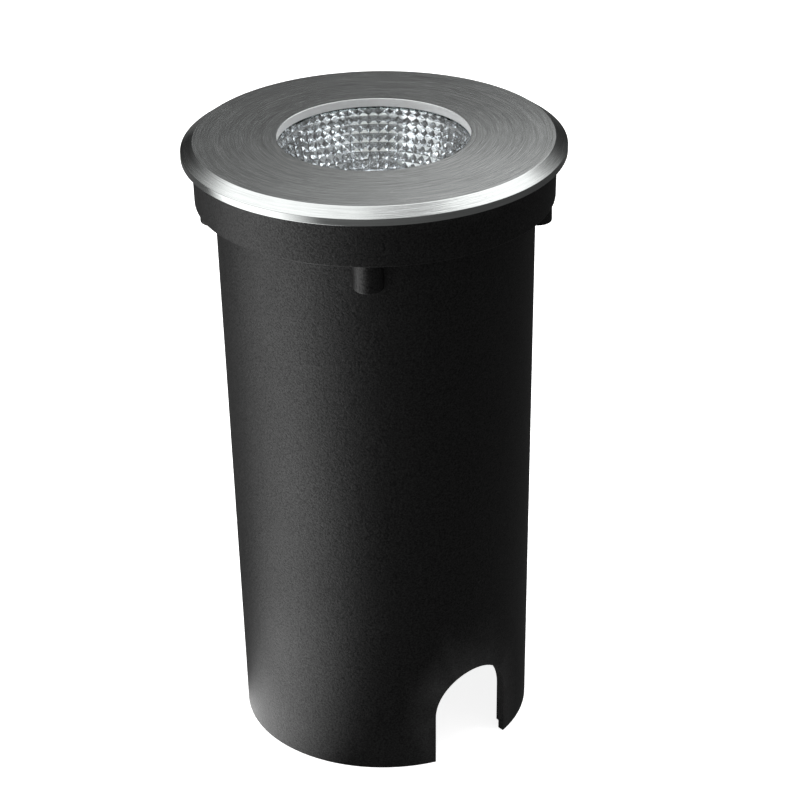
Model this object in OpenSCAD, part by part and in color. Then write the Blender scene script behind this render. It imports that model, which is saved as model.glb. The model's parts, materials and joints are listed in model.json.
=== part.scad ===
// Recessed in-ground light with its installation pot, in millimetres.
// The origin is the centre of the pot's open foot, +Z up. The four screw bosses lie on X and Y.

/* [Cover] */
// Diameter of the stainless cover
cover_d = 125; // [122:0.5:140]
// Thickness of the cover's plate
cover_plate_t = 1.9; // [1.5:0.1:3]
// Width of the chamfer round the top, seen from above
cover_chamfer_w = 3.9; // [3:0.1:6]
// Height of that chamfer
cover_chamfer_h = 2.7; // [2:0.1:3]
// How far the top falls from the aperture to the chamfer
cover_crown = 0.4; // [0.2:0.05:0.6]
// Radius of the edge between the top and the chamfer
cover_blend_r = 0.3; // [0.2:0.05:1]
// Height of the straight edge under the chamfer
cover_edge_h = 2.3; // [1.5:0.1:3]
// Thickness of the cover's edge, outside the pot's collar
cover_edge_t = 2.8; // [2:0.1:4]
// Diameter of the light aperture
aperture_d = 62.7; // [54:0.1:64]
// Width of the lip under the aperture
lip_w = 2.6; // [2:0.1:3]
// How far that lip hangs below the plate
lip_drop = 1; // [0.9:0.1:1.4]
// Thickness of the flat gasket between cover and collar
cover_gasket_t = 1; // [0.5:0.1:2]
// Diameter of the blind studs that hold the cover
stud_d = 4; // [3:0.1:4.5]
// Free length of a stud below the cover's plate
stud_len = 13; // [9:0.5:14]
// Diameter of a stud's welded foot
stud_foot_d = 7; // [6:0.1:8]
// Thickness of a stud's welded foot
stud_foot_t = 0.8; // [0.5:0.1:1.5]

/* [Pot] */
// Height of the pot from its foot to the top of the collar
pot_h = 209.5; // [190:0.5:260]
// Height of the collar
collar_h = 18; // [16:0.5:24]
// Wall of the collar
collar_wall = 2.5; // [2:0.1:3]
// Draft of the collar over its height, on the radius
collar_draft = 0.5; // [0:0.05:0.8]
// Gap between the cover's edge and the collar
collar_gap = 0.5; // [0.3:0.05:1]
// Width of the step from the collar in to the tube
step_w = 6.4; // [5.5:0.1:7.5]
// Thickness of the ledge inside the collar
ledge_t = 3; // [2.5:0.1:4]
// Wall of the tube
pot_wall = 3.5; // [2.5:0.1:4]
// Draft of the tube over its height, on the radius
tube_draft = 3.1; // [1:0.1:4]
// Width of the rebate inside the tube's foot
foot_rebate_w = 1; // [0.5:0.1:1.5]
// Height of that rebate
foot_rebate_h = 3; // [2:0.5:6]
// Width of the cable notch
notch_w = 30; // [20:0.5:36]
// Height of the cable notch at the top of its arch
notch_h = 33.2; // [24:0.1:50]
// Direction of the cable notch, in degrees from -Y towards +X
notch_angle = 40; // [20:1:70]
// Outside diameter of the screw bosses
boss_d = 9.6; // [9:0.1:11]
// How far a boss hangs below the collar
boss_drop = 9.7; // [8:0.1:14]
// Closed floor of a boss
boss_floor = 1.7; // [1:0.1:2.5]
// Outside diameter of the brass inserts
insert_d = 5.6; // [5.2:0.1:6.4]
// Length of the brass inserts
insert_len = 8; // [6:0.5:9]

/* [Lamp flange and glass] */
// Thickness of the flat seal under the flange
flange_seal_t = 1; // [0.5:0.1:2]
// Thickness of the flange
flange_t = 6; // [5:0.1:7]
// Gap between the flange's rim and the collar
flange_gap = 0.5; // [0.3:0.1:1]
// Diameter of the fixing screws
screw_d = 4; // [3.5:0.1:4.5]
// Diameter of their heads
screw_head_d = 7; // [6:0.1:8]
// Height of their heads
screw_head_h = 3; // [2:0.1:4]
// Length of their shafts
screw_len = 14; // [12:0.5:16]
// Wall of the rubber bushes round the cover's studs
bush_wall = 1; // [0.8:0.1:1.2]
// Thickness of the bush's head
bush_head_t = 1; // [0.8:0.1:2]
// Gap between a screw head and the turret that holds the glass
turret_gap = 2.2; // [1:0.1:3]
// Thickness of the glass
glass_t = 3; // [2:0.1:4]
// Gap between the cover's lip and the glass
glass_gap = 0.3; // [0.2:0.05:0.5]
// Where the glass ends between aperture and turret side, as a share of that width
glass_share = 0.427; // [0.4:0.005:0.45]
// Width of the seal's land under the glass, outside the reflector
seal_land_w = 1.7; // [1.5:0.1:1.8]
// Thickness of the glass seal's lips
seal_lip_t = 0.4; // [0.3:0.05:0.5]
// Thickness of the glass seal round the glass
seal_side_t = 1.5; // [1:0.1:2]
// Height of the clamp ring
clamp_h = 2.6; // [2.2:0.1:3]
// Number of screws in the clamp ring
clamp_screws_n = 6; // [4:1:8]
// Diameter of the small screws of the holder, the rear cover and the brackets
small_screw_d = 3; // [2.5:0.1:3]
// Length of the clamp ring's screws
clamp_screw_len = 8; // [6:0.5:9]

/* [Reflector] */
// Height of the reflector
reflector_h = 28; // [26:0.1:29]
// Diameter of its exit over the light source
reflector_exit_d = 22; // [18:0.5:26]
// How far the bowl's mouth reaches out past the aperture, on the radius
mouth_flare = 2.85; // [2.5:0.05:3]
// Depth of the bowl's steep side, from the mouth to the rounded floor
bowl_side_h = 20.5; // [18:0.1:22]
// How much that side draws in with depth, on the radius
bowl_taper = 4.7; // [3:0.1:6]
// Wall of the bowl
bowl_wall = 1; // [0.8:0.1:1.1]
// Thickness of the reflector's flange
reflector_flange_t = 1.2; // [0.8:0.1:2]
// Number of studs round the bowl
stud_columns = 64; // [48:4:72]
// Number of stud rows on the bowl's side
side_rows = 7; // [4:1:8]
// Number of stud rows on its floor
floor_rows = 6; // [3:1:7]
// Height of a stud over the bowl
stud_rise = 0.45; // [0.1:0.05:0.6]

/* [Light source] */
// Side of the light source's square board
board_w = 19; // [15:0.5:20]
// Thickness of that board
board_t = 1.5; // [1:0.1:2]
// Diameter of its emitting disc
emitter_d = 14.5; // [10:0.5:16]
// Height of the emitting disc
emitter_t = 0.6; // [0.4:0.1:1]
// Thickness of the thermal pad
pad_t = 0.5; // [0.3:0.1:1]
// Diameter of the plastic holder
holder_d = 34; // [33:0.5:36]
// Height of the holder
holder_h = 3.3; // [3.2:0.1:4]
// Diameter of the window in the holder
window_d = 18; // [17:0.5:20]

/* [Lamp can] */
// Thickness of the floor between light source and driver
web_t = 5; // [4:0.5:8]
// Wall round the driver chamber
can_wall = 3; // [2.5:0.1:3.5]
// Depth of the cooling fins
fin_h = 5; // [4:0.1:5.5]
// Thickness of the cooling fins
fin_t = 2; // [1.4:0.1:3]
// Number of cooling fins
fins_n = 24; // [12:1:30]
// Gap between the fins and the narrowest part of the pot
fin_gap = 0.7; // [0.5:0.1:2]
// Height of the solid rim at the can's rear end
rear_rim_h = 7; // [6:0.5:10]
// Thickness of the rear cover
rear_cover_t = 4; // [3:0.1:6]
// Thickness of the rear seal
rear_seal_t = 1.2; // [0.8:0.1:1.6]
// Width of the rear seal
rear_seal_w = 2.2; // [1.6:0.1:2.4]
// Length of the rear cover's screws
rear_screw_len = 10; // [8:0.5:10]

/* [Driver] */
// Width of the driver's case
driver_w = 48; // [40:1:50]
// Depth of the driver's case
driver_d = 28; // [20:1:30]
// Height of the driver's case
driver_h = 42; // [30:1:44]
// Room for leads between the driver and the floor above it
driver_room = 6; // [5:0.5:8]
// Corner radius of the driver's case
driver_corner_r = 3; // [1:0.5:5]
// Thickness of the bracket's sheet
bracket_t = 1.5; // [1:0.1:2]
// Width of the bracket
bracket_w = 30; // [26:1:34]
// Width of one pole of the terminal block
pole_w = 8; // [7:0.5:9]
// Depth of the terminal block
terminal_d = 12; // [10:0.5:14]
// Height of the terminal block
terminal_h = 14; // [12:0.5:16]

/* [Cable entry] */
// Distance of the gland's and the vent's axis from the driver chamber's wall
entry_inset = 16; // [15:0.5:18]
// Diameter of the gland's thread
gland_d = 16; // [14:0.5:16]
// Width of the gland's hexagons across flats
gland_hex = 20; // [19:0.5:22]
// Thickness of the gland body's hexagon
gland_flange_t = 5; // [4:0.5:6]
// Height of the gland's locknut
locknut_h = 4; // [3:0.5:4]
// Height of the gland's dome nut
gland_nut_h = 15; // [13:0.5:18]
// Height of the rubber insert
gland_insert_h = 9; // [7:0.5:10]
// Bore of the rubber insert, for the cable
cable_bore_d = 7; // [5:0.5:8]
// Diameter of the vent's thread
vent_d = 6; // [5:0.5:8]
// Diameter of the vent's cap
vent_cap_d = 12; // [10:0.5:14]
// Height of the vent's cap
vent_cap_h = 5; // [3:0.5:6]

/* [Fits] */
// Gap round a shaft that slides or turns, on the radius
run_gap = 0.05; // [0.02:0.01:0.09]
// Gap between pieces that lie beside each other in one body
seat_gap = 0.1; // [0.05:0.01:0.2]
// Gap between the cover's underside and what lies below it
cover_clear = 0.3; // [0.2:0.05:0.4]
// Gap between the cover's lip and the clamp ring, on the radius
lip_side_gap = 0.9; // [0.5:0.1:1.2]
// Diameter of the leads
lead_d = 1.4; // [1:0.1:1.8]

/* [Hidden] */
$fn = 96;
cover_fn = 180;
side_growth = 1.08;
floor_growth = 0.8;
row_step = 0.1;

// How far a cut runs past the face that it opens
over = 1;
// Overlap that joins two shapes of one solid
join = 0.2;
quarter = 90;
arc_steps = 6;
// Small round and small bevel on moulded and turned edges
edge_r = 0.6;
edge_break = 0.2;
// Room in a clearance hole and in a tapped hole, on the diameter
hole_room = 0.4;
tapped_room = 2 * run_gap;
// Room beyond a screw's tip
hole_end = 0.5;
// Room between the driver and the rear cover
rear_room = 5;
// Diameter of the clamp ring's screws, as a share of the ring's solid width
clamp_screw_share = 0.43;
// Small screws: head, width of the socket as a share of the head, thread in the floor
small_head_d = 5.4;
small_head_h = 2;
socket_share = 0.42;
floor_bite = 3;
driver_bite = 4;
// Depth of the counterbores in the holder
counterbore = 2;
// Steps of the bowl's plain back

// Heights, from the pot's foot up
z_ledge_under = pot_h - collar_h;
z_ledge = z_ledge_under + ledge_t;
z_flange = z_ledge + flange_seal_t;
z_flange_top = z_flange + flange_t;
z_under = pot_h + cover_gasket_t;
z_top = z_under + cover_plate_t;
z_lip = z_under - lip_drop;
z_chamfer = z_top - cover_crown - cover_chamfer_h;
z_edge = z_chamfer - cover_edge_h;
z_glass_top = z_lip - glass_gap;
z_glass = z_glass_top - glass_t;
z_clamp_top = z_under - cover_clear;
z_clamp = z_clamp_top - clamp_h;
z_seal_top = z_glass_top + seal_lip_t;
z_seal = z_glass - seal_lip_t;
z_mouth = z_glass - 2 * seat_gap;
z_reflector_seat = z_mouth - reflector_flange_t;
z_exit = z_mouth - reflector_h;
z_bowl_floor = z_mouth - bowl_side_h;
z_holder_top = z_exit - seat_gap;
z_web_top = z_holder_top - holder_h;
z_web = z_web_top - web_t;
z_board = z_web_top + pad_t;
z_driver_top = z_web - driver_room;
z_driver = z_driver_top - driver_h;
z_rear = z_driver - rear_room;
z_rear_under = z_rear - rear_cover_t;

// Radii, from the cover's edge inwards
cover_r = cover_d / 2;
collar_top_r = cover_r - cover_edge_t - collar_gap;
collar_low_r = collar_top_r - collar_draft;
collar_in_r = collar_low_r - collar_wall + collar_draft;
tube_top_r = collar_low_r - step_w;
tube_foot_r = tube_top_r - tube_draft;
tube_in_top_r = tube_top_r - pot_wall;
tube_in_foot_r = tube_foot_r - pot_wall;
bolt_r = (tube_in_top_r + collar_in_r) / 2;
flange_r = collar_in_r - flange_gap;
turret_r = bolt_r - screw_head_d / 2 - turret_gap;
stud_ring_r = (turret_r + flange_r) / 2;
aperture_r = aperture_d / 2;
lip_r = aperture_r + lip_w;
glass_r = aperture_r + glass_share * (turret_r - aperture_r);
glass_recess_r = glass_r + seal_side_t + seat_gap;
clamp_in_r = lip_r + lip_side_gap;
clamp_out_r = turret_r - 2 * seat_gap;
clamp_body_in_r = glass_recess_r + 2 * seat_gap;
clamp_screw_ring_r = (clamp_body_in_r + clamp_out_r) / 2;
clamp_screw_d = clamp_screw_share * (clamp_out_r - clamp_body_in_r);
mouth_r = aperture_r + mouth_flare;
exit_r = reflector_exit_d / 2;
reflector_flange_r = glass_r - seal_land_w;
bowl_floor_r = mouth_r - bowl_taper;
stud_rows = side_rows + floor_rows;
optic_r = (mouth_r + bowl_wall + reflector_flange_r) / 2;
fin_r = tube_in_foot_r - fin_gap;
can_r = fin_r - fin_h;
chamber_r = can_r - can_wall;
entry_offset = chamber_r - entry_inset;
rear_seal_out_r = chamber_r + rear_seal_w + seat_gap * 2;
rear_screw_ring_r = (rear_seal_out_r + fin_r) / 2 + seat_gap;

// Angles of the repeated pieces
bolt_angles = [0, 90, 180, 270];
stud_angles = [45, 135, 225, 315];
rear_angles = [45, 135, 225, 315];
clamp_angles = [for (i = [0:clamp_screws_n - 1]) 360 * (i + 0.5) / clamp_screws_n];
holder_angles = [0, 180];
vent_angles = [0, 60, 120, 180, 240, 300];

// Places of the light source's holder, of the leads and of their grommet
holder_screw_x = (board_w + holder_d) / 4 + 3 * seat_gap;
lead_gap = 2.2;
lead_sides = 8;
lead_steps = 5;
z_lead_exit = z_board + (board_t + lead_d) / 2;
lead_bend = 3;
lead_lift = 0.6;
grommet_y = (holder_d / 2 + optic_r) / 2;
grommet_hole_d = 9;
grommet_lip = 1;
grommet_lead_x = 1.5;

// Driver, bracket and terminal block
driver_y = -7;
driver_lid_t = 1.6;
driver_lid_inset = 0.5;
driver_screw_x = 9;
z_driver_screws = z_driver + driver_h / 6;
z_driver_lead = z_driver_top + driver_lid_t + 2 * seat_gap;
bracket_y = driver_y + driver_d / 2 + seat_gap;
z_bracket = z_driver + driver_h / 14;
bracket_leg = grommet_y - grommet_hole_d / 2 - grommet_lip - hole_room - bracket_y;
bracket_screw_x = 10;
bracket_screw_y = bracket_y + bracket_leg - 1.4 * small_screw_d;
poles = 3;
wire_hole_d = 4;
terminal_screw_h = 3;
terminal_screw_in = 2;
terminal_y = bracket_y + bracket_t + seat_gap + terminal_d / 2;
z_terminal = z_driver + driver_h / 3;
z_terminal_top = z_terminal + terminal_h;

// Cable gland and vent
gland_washer_t = 1;
gland_spigot_h = 10;
gland_spigot_d = gland_d - 1;
gland_insert_r = 5.6;
gland_bore_r = gland_insert_r + seat_gap;
gland_throat_r = cable_bore_d / 2 + 0.5;
gland_nut_gap = 0.3;
gland_dome_r = 5;
gland_mouth_r = cable_bore_d / 2 + 1;
z_gland_hex = z_rear_under - gland_washer_t - gland_flange_t;
vent_round = 1;
vent_tip = 1;
vent_hole_d = 1.2;

function polar(r, a) = [r * cos(a), r * sin(a)];
function arc(c, r, a0, a1, n = arc_steps) = [for (i = [0:n]) c + polar(r, a0 + (a1 - a0) * i / n)];

// Points of a round that replaces corner p between the neighbours a and b
function unit(v) = v / norm(v);
function round_corner(a, p, b, r, n = arc_steps) =
  let (
    u = unit(a - p),
    v = unit(b - p),
    half = acos(u * v) / 2,
    tangent = r / tan(half),
    centre = p + unit(u + v) * r / sin(half),
    first = p + u * tangent - centre,
    last = p + v * tangent - centre,
    a0 = atan2(first[1], first[0]),
    turn = atan2(first[0] * last[1] - first[1] * last[0], first * last)
  )
  [for (i = [0:n]) centre + polar(r, a0 + turn * i / n)];

module at_angles(angles, r) {
  for (a = angles)
    rotate(a) translate([r, 0, 0]) children();
}

module ring(r_out, r_in, h) {
  rotate_extrude()
    translate([r_in, 0]) square([r_out - r_in, h]);
}

module hexagon(width, h) {
  cylinder(r = width / 2 / cos(30), h = h, $fn = 6);
}

// A box with round upright corners, standing on z 0 and centred on x and y
module round_box(w, d, h, r) {
  linear_extrude(h)
    polygon(concat(
      arc([w / 2 - r, d / 2 - r], r, 0, 90),
      arc([r - w / 2, d / 2 - r], r, 90, 180),
      arc([r - w / 2, r - d / 2], r, 180, 270),
      arc([w / 2 - r, r - d / 2], r, 270, 360)
    ));
}

// A screw with a cylinder head and a hexagon socket, its head's underside at z 0
module cap_screw(d, head_d, head_h, len) {
  difference() {
    union() {
      cylinder(d = head_d, h = head_h);
      translate([0, 0, -len]) cylinder(d = d, h = len + join);
    }
    translate([0, 0, head_h / 2]) hexagon(head_d * socket_share, head_h);
  }
}

// A screw with a countersunk head, the head's top at z 0
module flat_screw(d, len) {
  difference() {
    union() {
      translate([0, 0, -d / 2]) cylinder(r1 = d / 2, r2 = d - seat_gap, h = d / 2);
      translate([0, 0, -len]) cylinder(d = d, h = len);
    }
    translate([0, 0, -d / 4]) hexagon(2 * d * socket_share, d);
  }
}

// Pot

module pot_body() {
  rebate_r = tube_in_foot_r + foot_rebate_w;
  low = [collar_low_r, z_ledge_under];
  rotate_extrude()
    polygon(concat(
      [[rebate_r, 0], [tube_foot_r - edge_break, 0], [tube_foot_r, edge_break]],
      [[tube_top_r, z_ledge_under]],
      round_corner([tube_top_r, z_ledge_under], low, [collar_top_r, pot_h], edge_r),
      [[collar_top_r, pot_h - edge_break], [collar_top_r - edge_break, pot_h]],
      [[collar_in_r, pot_h], [collar_in_r, z_ledge]],
      [[tube_in_top_r, z_ledge], [tube_in_foot_r, foot_rebate_h], [rebate_r, foot_rebate_h]]
    ));
}

module boss() {
  z0 = z_ledge_under - boss_drop;
  r = boss_d / 2;
  translate([0, 0, z0])
    rotate_extrude()
      polygon(concat(
        [[0, 0]],
        arc([r - edge_r, edge_r], edge_r, -quarter, 0),
        [[r, z_ledge - z0], [0, z_ledge - z0]]
      ));
}

module boss_hole() {
  z0 = z_ledge_under - boss_drop + boss_floor;
  translate([0, 0, z0]) cylinder(d = insert_d, h = z_ledge - z0 + over);
}

module notch_cut() {
  r = notch_w / 2;
  rotate(notch_angle - quarter)
    translate([tube_in_foot_r / 2, 0, 0])
      rotate([quarter, 0, quarter])
        linear_extrude(tube_foot_r)
          union() {
            translate([-r, -over]) square([notch_w, notch_h - r + over]);
            translate([0, notch_h - r]) circle(r);
          }
}

module mounting_pot() {
  color([0.06, 0.06, 0.06])
    difference() {
      union() {
        pot_body();
        at_angles(bolt_angles, bolt_r) boss();
      }
      at_angles(bolt_angles, bolt_r) boss_hole();
      notch_cut();
    }
}

module pot_inserts() {
  color([0.72, 0.58, 0.3])
    at_angles(bolt_angles, bolt_r)
      translate([0, 0, z_ledge - insert_len])
        ring(insert_d / 2, screw_d / 2 + run_gap, insert_len);
}

// Cover

module cover_ring() {
  rim_in_r = cover_r - cover_edge_t;
  flat_r = cover_r - cover_chamfer_w;
  corner = [flat_r, z_top - cover_crown];
  low = [cover_r, z_chamfer];
  color([0.62, 0.63, 0.64])
    rotate_extrude($fn = cover_fn)
      polygon(concat(
        [[aperture_r, z_lip + edge_break], [aperture_r, z_top - edge_break]],
        [[aperture_r + edge_break, z_top]],
        round_corner([aperture_r, z_top], corner, low, cover_blend_r),
        round_corner(corner, low, [cover_r, z_edge], edge_break),
        [[cover_r, z_edge + edge_break], [cover_r - edge_break, z_edge]],
        [[rim_in_r, z_edge], [rim_in_r, z_under], [lip_r, z_under]],
        [[lip_r, z_lip], [aperture_r + edge_break, z_lip]]
      ));
}

module cover_studs() {
  tip = stud_d / 4;
  color([0.7, 0.71, 0.72])
    at_angles(stud_angles, stud_ring_r)
      translate([0, 0, z_under])
        mirror([0, 0, 1]) {
          cylinder(d = stud_foot_d, h = stud_foot_t);
          cylinder(d = stud_d, h = stud_len - tip);
          translate([0, 0, stud_len - tip]) cylinder(d1 = stud_d, d2 = stud_d - tip, h = tip);
        }
}

module cover_gasket() {
  color([0.12, 0.12, 0.12])
    translate([0, 0, pot_h]) ring(collar_top_r - edge_break, collar_in_r + edge_break, cover_gasket_t);
}

module stud_bushes() {
  bore = stud_d / 2 + run_gap;
  color([0.15, 0.15, 0.15])
    at_angles(stud_angles, stud_ring_r) {
      translate([0, 0, z_flange + seat_gap]) ring(bore + bush_wall, bore, flange_t);
      translate([0, 0, z_flange_top]) ring(bore + 2 * bush_wall, bore, bush_head_t);
    }
}

// Lamp

module flange_seal() {
  color([0.12, 0.12, 0.12])
    difference() {
      translate([0, 0, z_ledge]) ring(flange_r - seat_gap, tube_in_top_r + edge_r, flange_seal_t);
      at_angles(bolt_angles, bolt_r)
        translate([0, 0, z_ledge - over])
          cylinder(d = screw_d + 2 * hole_room, h = flange_seal_t + 2 * over);
    }
}

module housing_shell() {
  rotate_extrude()
    polygon([
      [0, z_web], [chamber_r, z_web], [chamber_r, z_rear], [fin_r, z_rear],
      [fin_r, z_rear + rear_rim_h], [can_r, z_rear + rear_rim_h], [can_r, z_flange],
      [flange_r, z_flange], [flange_r, z_flange_top], [turret_r, z_flange_top],
      [turret_r, z_clamp], [glass_recess_r, z_clamp], [glass_recess_r, z_seal],
      [reflector_flange_r + 3 * seat_gap, z_seal], [reflector_flange_r + 3 * seat_gap, z_reflector_seat],
      [optic_r, z_reflector_seat], [optic_r, z_web_top], [0, z_web_top]
    ]);
}

module fins() {
  z0 = z_rear + rear_rim_h - join;
  for (i = [0:fins_n - 1])
    rotate(360 * i / fins_n)
      translate([can_r - can_wall / 2, -fin_t / 2, z0])
        cube([fin_r - can_r + can_wall / 2, fin_t, z_flange + join - z0]);
}

module tapped_hole(d, depth) {
  translate([0, 0, -depth]) cylinder(d = d + tapped_room, h = depth + over);
}

module lamp_housing() {
  bush_r = stud_d / 2 + bush_wall + 2 * run_gap;
  color([0.55, 0.56, 0.57])
    difference() {
      union() {
        housing_shell();
        fins();
      }
      at_angles(bolt_angles, bolt_r)
        translate([0, 0, z_flange - over]) cylinder(d = screw_d + hole_room, h = flange_t + 2 * over);
      at_angles(stud_angles, stud_ring_r)
        translate([0, 0, z_flange - over]) cylinder(r = bush_r, h = flange_t + 2 * over);
      at_angles(clamp_angles, clamp_screw_ring_r)
        translate([0, 0, z_clamp]) tapped_hole(clamp_screw_d, clamp_screw_len - clamp_h + hole_end);
      at_angles(holder_angles, holder_screw_x)
        translate([0, 0, z_web_top]) tapped_hole(small_screw_d, floor_bite + hole_end);
      translate([0, grommet_y, z_web - over])
        cylinder(d = grommet_hole_d, h = web_t + 2 * over);
      for (side = [-1, 1])
        translate([side * bracket_screw_x, bracket_screw_y, z_web])
          mirror([0, 0, 1]) tapped_hole(small_screw_d, floor_bite + hole_end);
      at_angles(rear_angles, rear_screw_ring_r)
        translate([0, 0, z_rear])
          mirror([0, 0, 1]) tapped_hole(small_screw_d, rear_screw_len - rear_cover_t + hole_end);
    }
}

module fixing_screws() {
  color([0.7, 0.71, 0.72])
    at_angles(bolt_angles, bolt_r)
      translate([0, 0, z_flange_top]) cap_screw(screw_d, screw_head_d, screw_head_h, screw_len);
}

module glass() {
  color([0.8, 0.9, 0.92, 0.35])
    translate([0, 0, z_glass]) cylinder(r = glass_r, h = glass_t);
}

module glass_seal() {
  lip_in_r = clamp_in_r + cover_clear;
  low_in_r = reflector_flange_r + seat_gap * 2;
  color([0.14, 0.14, 0.14])
    rotate_extrude()
      polygon([
        [low_in_r, z_seal], [glass_recess_r - seat_gap, z_seal], [glass_recess_r - seat_gap, z_seal_top],
        [lip_in_r, z_seal_top], [lip_in_r, z_glass_top], [glass_r, z_glass_top],
        [glass_r, z_glass], [low_in_r, z_glass]
      ]);
}

module clamp_ring() {
  color([0.6, 0.61, 0.62])
    difference() {
      rotate_extrude()
        polygon([
          [clamp_body_in_r, z_clamp], [clamp_out_r, z_clamp], [clamp_out_r, z_clamp_top],
          [clamp_in_r, z_clamp_top], [clamp_in_r, z_seal_top], [clamp_body_in_r, z_seal_top]
        ]);
      at_angles(clamp_angles, clamp_screw_ring_r)
        translate([0, 0, z_clamp_top]) {
          translate([0, 0, -clamp_screw_d / 2])
            cylinder(
              r1 = clamp_screw_d / 2 + seat_gap,
              r2 = clamp_screw_d + seat_gap + join,
              h = clamp_screw_d / 2 + join
            );
          tapped_hole(clamp_screw_d, clamp_h + over);
        }
    }
}

module clamp_screws() {
  color([0.7, 0.71, 0.72])
    at_angles(clamp_angles, clamp_screw_ring_r)
      translate([0, 0, z_clamp_top]) flat_screw(clamp_screw_d, clamp_screw_len);
}

// Reflector: a bowl tiled with studs in rows and columns, each a low pyramid.
// Its side is a steep cone and its floor a quarter of an ellipse. Rows grow taller with depth
// on the side and wider towards the exit on the floor.

// Radius and height of the bowl at row k from the mouth
function bowl_profile(k) =
  k <= side_rows
    ? let (share = pow(k / side_rows, side_growth))
      [mouth_r - bowl_taper * share, z_mouth - bowl_side_h * share]
    : let (a = quarter * pow((k - side_rows) / floor_rows, floor_growth))
      [
        exit_r + (bowl_floor_r - exit_r) * cos(a),
        z_bowl_floor - (z_bowl_floor - z_exit - bowl_wall) * sin(a)
      ];
// Direction square to the bowl at row k, up and inwards
function bowl_normal(k) =
  let (
    before = bowl_profile(max(k - row_step, 0)),
    after = bowl_profile(min(k + row_step, stud_rows)),
    run = unit(after - before)
  )
  [run[1], -run[0]];
function turned(p, column) =
  let (xy = polar(p[0], 360 * column / stud_columns))
  [xy[0], xy[1], p[1]];
function bowl_point(k, j) = turned(bowl_profile(k), j);
// The top of the stud between rows k and k + 1 and columns j and j + 1
function stud_top(k, j) =
  turned(bowl_profile(k + 0.5) + stud_rise * bowl_normal(k + 0.5), j + 0.5);

// The plain outside: from the exit's edge, up the bowl's back and round the flange
outside = concat(
  [for (k = [stud_rows:-1:1]) bowl_profile(k) - bowl_wall * bowl_normal(k)],
  [[mouth_r + bowl_wall, z_reflector_seat], [reflector_flange_r, z_reflector_seat]],
  [[reflector_flange_r, z_mouth]]
);
function ring_index(k, j) = k * stud_columns + (j + stud_columns) % stud_columns;

module reflector() {
  first_top = (stud_rows + 1) * stud_columns;
  first_back = first_top + stud_rows * stud_columns;
  columns = [0:stud_columns - 1];
  points = concat(
    [for (k = [0:stud_rows]) for (j = columns) bowl_point(k, j)],
    [for (k = [0:stud_rows - 1]) for (j = columns) stud_top(k, j)],
    [for (p = outside) for (j = columns) turned(p, j)]
  );
  studs = [for (k = [0:stud_rows - 1]) for (j = columns)
    let (
      top = first_top + ring_index(k, j),
      a = ring_index(k, j),
      b = ring_index(k, j + 1),
      c = ring_index(k + 1, j + 1),
      d = ring_index(k + 1, j)
    )
    each [[top, b, a], [top, c, b], [top, d, c], [top, a, d]]];
  last = len(outside) - 1;
  skin = [for (i = [0:last - 1]) for (j = columns)
    let (
      a = first_back + ring_index(i, j),
      b = first_back + ring_index(i, j + 1),
      c = first_back + ring_index(i + 1, j + 1),
      d = first_back + ring_index(i + 1, j)
    )
    each [[a, c, b], [a, d, c]]];
  exit_edge = [for (j = columns)
    let (
      a = ring_index(stud_rows, j),
      b = ring_index(stud_rows, j + 1),
      c = first_back + ring_index(0, j + 1),
      d = first_back + ring_index(0, j)
    )
    each [[a, c, b], [a, d, c]]];
  flange_face = [for (j = columns)
    let (
      a = first_back + ring_index(last, j),
      b = first_back + ring_index(last, j + 1),
      c = ring_index(0, j + 1),
      d = ring_index(0, j)
    )
    each [[a, c, b], [a, d, c]]];
  color([0.85, 0.86, 0.88])
    polyhedron(points, concat(studs, skin, exit_edge, flange_face), convexity = 6);
}

// Light source

module led_module() {
  color([0.93, 0.93, 0.9])
    translate([0, 0, z_board]) round_box(board_w, board_w, board_t, edge_r);
}

module led_emitter() {
  color([0.95, 0.8, 0.3])
    translate([0, 0, z_board + board_t]) cylinder(d = emitter_d, h = emitter_t);
}

module thermal_pad() {
  color([0.6, 0.62, 0.68])
    translate([0, 0, z_web_top]) round_box(board_w - seat_gap, board_w - seat_gap, pad_t, edge_r);
}

module led_holder() {
  pocket = board_w + hole_room;
  pocket_h = pad_t + board_t + seat_gap;
  color([0.92, 0.92, 0.92])
    difference() {
      translate([0, 0, z_web_top]) cylinder(d = holder_d, h = holder_h);
      translate([-pocket / 2, -pocket / 2, z_web_top - over]) cube([pocket, pocket, pocket_h + over]);
      translate([0, 0, z_web_top]) cylinder(d = window_d, h = holder_h + over);
      at_angles(holder_angles, holder_screw_x)
        translate([0, 0, z_holder_top]) {
          translate([0, 0, -counterbore]) cylinder(r = small_screw_d - seat_gap, h = counterbore + over);
          tapped_hole(small_screw_d, holder_h + over);
        }
      for (side = [-1, 1])
        translate([side * lead_gap, 0, z_lead_exit])
          rotate([-quarter, 0, 0]) cylinder(d = lead_d + hole_room, h = holder_d);
    }
}

module holder_screws() {
  head_h = counterbore - 2 * seat_gap;
  color([0.7, 0.71, 0.72])
    at_angles(holder_angles, holder_screw_x)
      translate([0, 0, z_holder_top - counterbore])
        cap_screw(small_screw_d, small_head_d, head_h, holder_h - counterbore + floor_bite);
}

// Leads, held inside the lamp all the way

// A smooth curve through the route's own points
function spline(p0, p1, p2, p3, t) =
  0.5 * (2 * p1 + (p2 - p0) * t + (2 * p0 - 5 * p1 + 4 * p2 - p3) * t * t
    + (3 * p1 - p0 - 3 * p2 + p3) * t * t * t);
function smooth(path) =
  let (n = len(path))
  [for (i = [0:n - 2]) for (s = [0:lead_steps - (i == n - 2 ? 0 : 1)])
    spline(
      path[max(i - 1, 0)], path[i], path[i + 1], path[min(i + 2, n - 1)],
      s / lead_steps
    )];
function tangent(path, i) = unit(path[min(i + 1, len(path) - 1)] - path[max(i - 1, 0)]);

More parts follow.
